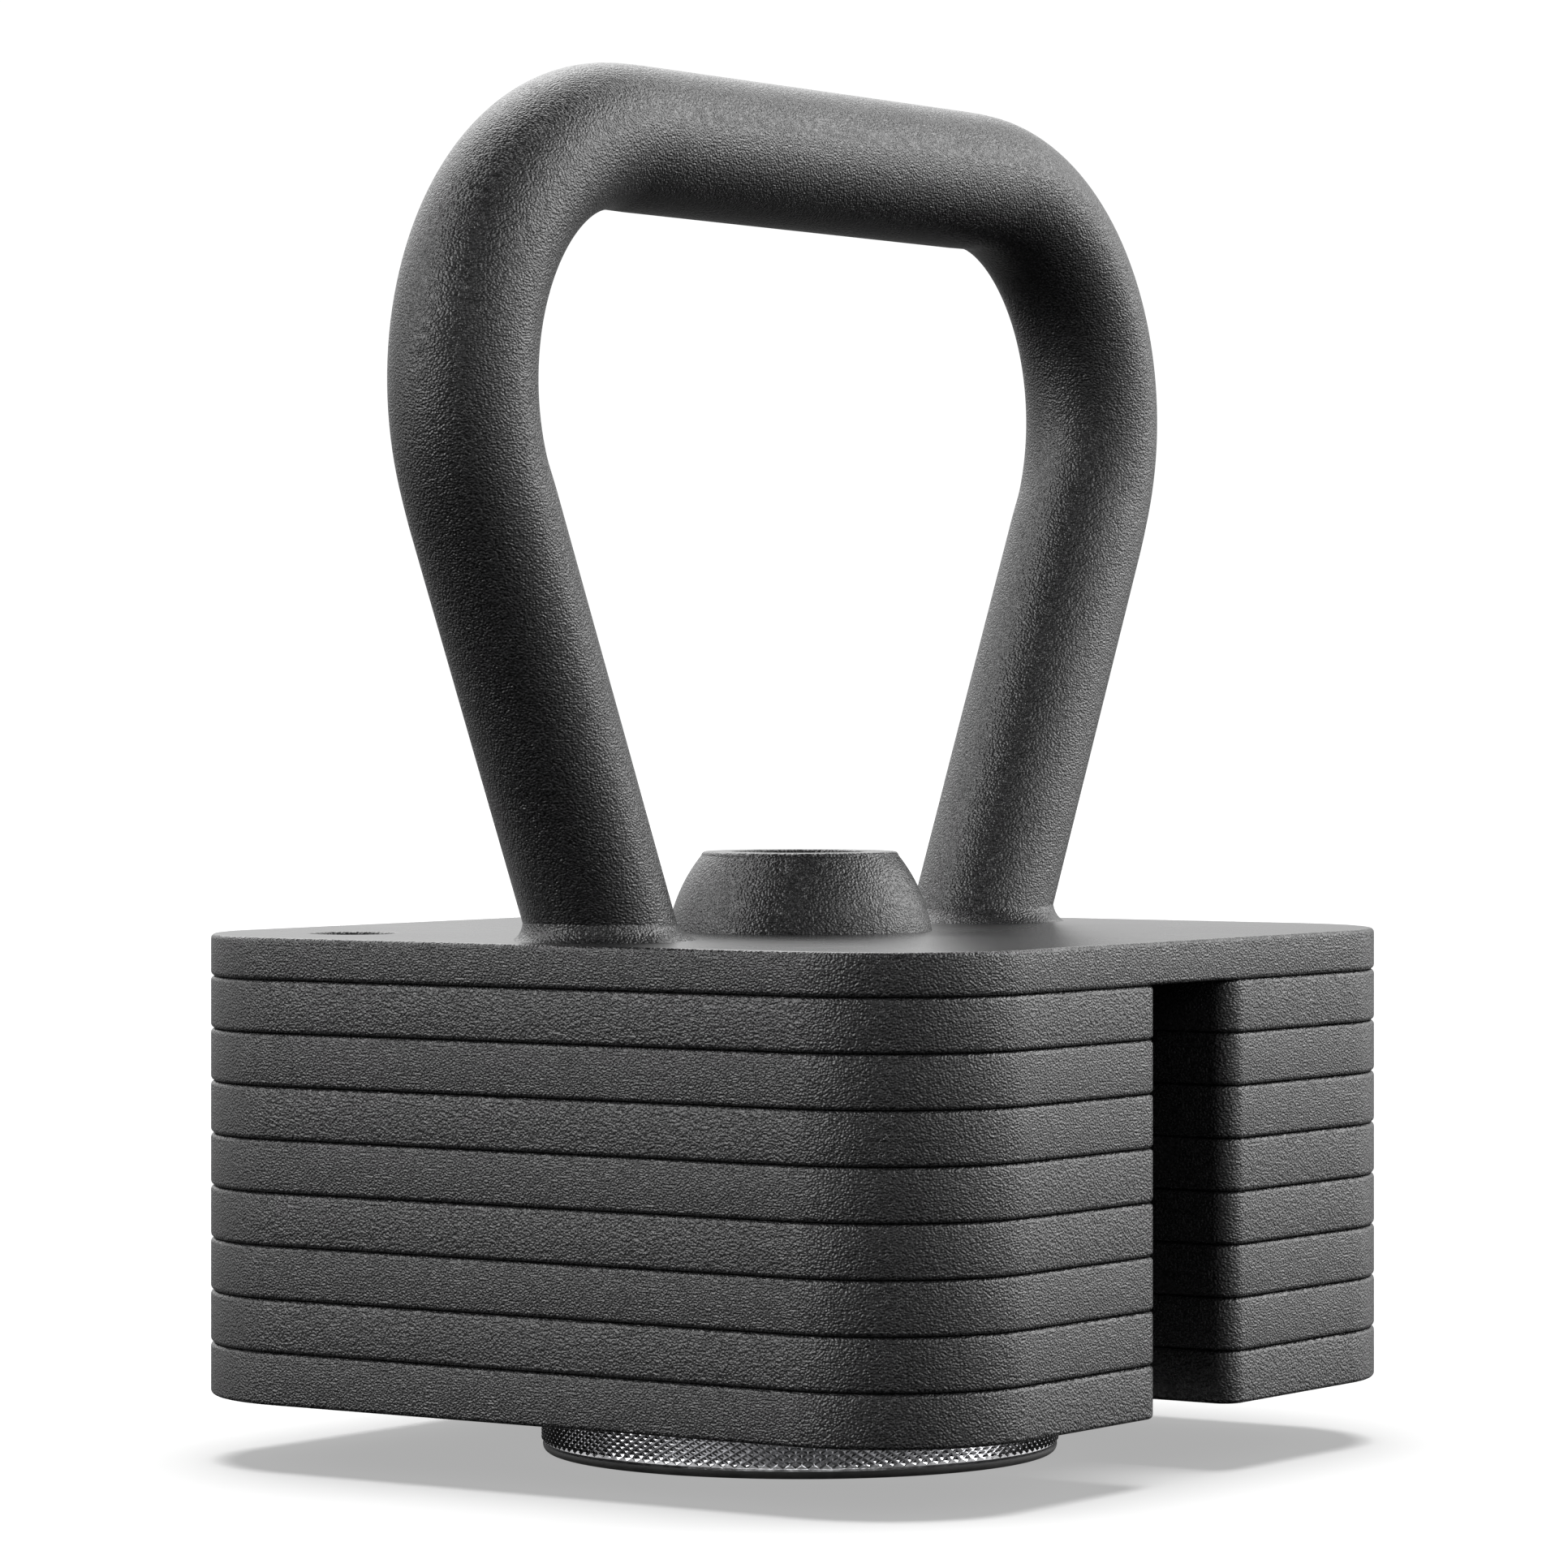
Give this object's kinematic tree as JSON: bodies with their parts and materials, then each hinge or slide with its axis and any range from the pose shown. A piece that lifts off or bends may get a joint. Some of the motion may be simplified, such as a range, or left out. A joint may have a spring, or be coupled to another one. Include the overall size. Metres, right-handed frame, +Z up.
{
  "type": "adjustable kettlebell",
  "caption": "Plate-loaded kettlebell with a bent round-bar handle on a domed base plate, square slotted weight plates below and a knurled clamping knob underneath.",
  "frame": {"origin": "on the screw's axis, at the surface that the knob's pad stands on", "axes": "+Z up along the screw; the handle lies in the XZ plane with its grip along X; the plate slots open towards -Y"},
  "size_m": [0.2432, 0.179, 0.2642],
  "materials": {
    "powder_coat": "matte black powder coat with a fine wrinkle grain",
    "plate_coat": "matte black powder coat with a fine wrinkle grain",
    "dark_chrome": "black chrome over a diamond knurl",
    "plain_steel": "turned steel, lightly oiled",
    "pad_rubber": "smooth matte rubber"
  },
  "bodies": {
    "frame": {"base_plate": "powder_coat", "handle_loop": "powder_coat", "left_foot_weld": "powder_coat", "right_foot_weld": "powder_coat", "hub_dome": "powder_coat", "threaded_bush": "plain_steel"},
    "washer": {"clamp_washer": "plain_steel"},
    "knob": {"lock_screw": "plain_steel", "drive_pin": "plain_steel", "retaining_bolt": "plain_steel", "knob_disc": "dark_chrome", "knob_pad": "pad_rubber"},
    "weight_plate_1": {"weight_plate_1": "plate_coat"},
    "weight_plate_2": {"weight_plate_2": "plate_coat"},
    "weight_plate_3": {"weight_plate_3": "plate_coat"},
    "weight_plate_4": {"weight_plate_4": "plate_coat"},
    "weight_plate_5": {"weight_plate_5": "plate_coat"},
    "weight_plate_6": {"weight_plate_6": "plate_coat"},
    "weight_plate_7": {"weight_plate_7": "plate_coat"},
    "weight_plate_8": {"weight_plate_8": "plate_coat"}
  },
  "joints": [
    {"name": "knob_rise", "type": "slide", "parent": "frame", "child": "washer", "axis": [0, 0, 1], "range_m": [-0.012, 0]},
    {"name": "knob_turn", "type": "hinge", "parent": "washer", "child": "knob", "pos_m": [0, 0, 0], "axis": [0, 0, 1], "range_deg": [-1440, 0]},
    {"name": "plate_1_slide", "type": "slide", "parent": "frame", "child": "weight_plate_1", "axis": [0, 1, 0], "range_m": [0, 0.24]},
    {"name": "plate_2_slide", "type": "slide", "parent": "frame", "child": "weight_plate_2", "axis": [0, 1, 0], "range_m": [0, 0.24]},
    {"name": "plate_3_slide", "type": "slide", "parent": "frame", "child": "weight_plate_3", "axis": [0, 1, 0], "range_m": [0, 0.24]},
    {"name": "plate_4_slide", "type": "slide", "parent": "frame", "child": "weight_plate_4", "axis": [0, 1, 0], "range_m": [0, 0.24]},
    {"name": "plate_5_slide", "type": "slide", "parent": "frame", "child": "weight_plate_5", "axis": [0, 1, 0], "range_m": [0, 0.24]},
    {"name": "plate_6_slide", "type": "slide", "parent": "frame", "child": "weight_plate_6", "axis": [0, 1, 0], "range_m": [0, 0.24]},
    {"name": "plate_7_slide", "type": "slide", "parent": "frame", "child": "weight_plate_7", "axis": [0, 1, 0], "range_m": [0, 0.24]},
    {"name": "plate_8_slide", "type": "slide", "parent": "frame", "child": "weight_plate_8", "axis": [0, 1, 0], "range_m": [0, 0.24]}
  ],
  "couplings": [
    {"joint": "knob_rise", "follows": "knob_turn", "m_per_rad": 0.00047746}
  ]
}
